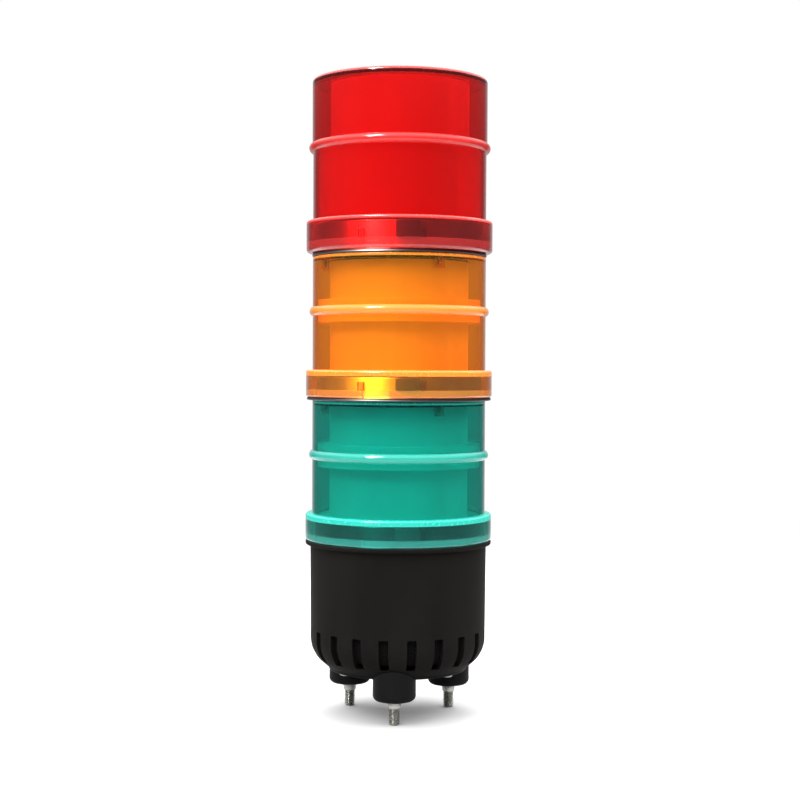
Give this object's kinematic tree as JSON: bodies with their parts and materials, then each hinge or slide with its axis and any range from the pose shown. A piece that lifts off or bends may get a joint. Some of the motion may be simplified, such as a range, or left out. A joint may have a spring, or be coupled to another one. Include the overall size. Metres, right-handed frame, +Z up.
{
  "type": "stack light",
  "caption": "Upright signal tower for a machine: green, amber and red lit tiers, twist-locked on a buzzer base with studs underneath.",
  "frame": {"origin": "centre of the stud circle, in the plane where the studs' shoulders end and their plain shanks begin", "axes": "+Z up along the column, away from the mounting surface; -Y towards the front, the side that stud_front stands nearest to; +X to the right as seen from the front"},
  "size_m": [0.086, 0.086, 0.2946],
  "materials": {
    "housing": "black moulded, fine matt",
    "cover": "black moulded, satin",
    "neck": "dark metallised moulding with black lugs",
    "screen": "black woven mesh",
    "stud": "bright zinc plate",
    "screw": "zinc-plated steel",
    "rubber": "black, matt",
    "green_lens": "clear tinted moulding, polished",
    "amber_lens": "clear tinted moulding, polished",
    "red_lens": "clear tinted moulding, polished",
    "diffuser": "frosted white",
    "carrier": "white moulded",
    "board": "green solder mask",
    "led": "white package with a clear dome",
    "contact": "rolled brass",
    "terminal": "green moulded",
    "component": "black packages",
    "buzzer": "black moulded"
  },
  "bodies": {
    "base": {"base_housing": "housing", "vent_screen": "screen", "bottom_cover": "cover", "stud_front": "stud", "stud_right": "stud", "stud_left": "stud", "cable_bushing": "rubber", "cover_screws": "screw", "control_board": "board", "board_screws": "screw", "terminal_block": "terminal", "board_components": "component", "buzzer_case": "buzzer", "buzzer_disc": "contact", "base_bus_bars": "contact", "base_neck_ring": "neck", "base_gasket": "rubber", "base_contact_pads": "contact", "base_neck_screws": "screw"},
    "green_tier": {"green_lens": "green_lens", "green_diffuser": "diffuser", "green_lamp_carrier": "carrier", "green_lamp_boards": "board", "green_leds": "led", "green_contact_pins": "contact", "green_bus_bars": "contact", "green_neck_ring": "neck", "green_gasket": "rubber", "green_contact_pads": "contact", "green_neck_screws": "screw"},
    "amber_tier": {"amber_lens": "amber_lens", "amber_diffuser": "diffuser", "amber_lamp_carrier": "carrier", "amber_lamp_boards": "board", "amber_leds": "led", "amber_contact_pins": "contact", "amber_bus_bars": "contact", "amber_neck_ring": "neck", "amber_gasket": "rubber", "amber_contact_pads": "contact", "amber_neck_screws": "screw"},
    "red_tier": {"red_lens": "red_lens", "red_diffuser": "diffuser", "red_lamp_carrier": "carrier", "red_lamp_boards": "board", "red_leds": "led", "red_contact_pins": "contact"}
  },
  "joints": [
    {"name": "green_twist", "type": "hinge", "parent": "base", "child": "green_tier", "pos_m": [0, 0, 0.0732], "axis": [0, 0, 1], "range_deg": [0, 20]},
    {"name": "amber_twist", "type": "hinge", "parent": "green_tier", "child": "amber_tier", "pos_m": [0, 0, 0.1392], "axis": [0, 0, 1], "range_deg": [0, 20]},
    {"name": "red_twist", "type": "hinge", "parent": "amber_tier", "child": "red_tier", "pos_m": [0, 0, 0.2052], "axis": [0, 0, 1], "range_deg": [0, 20]}
  ]
}
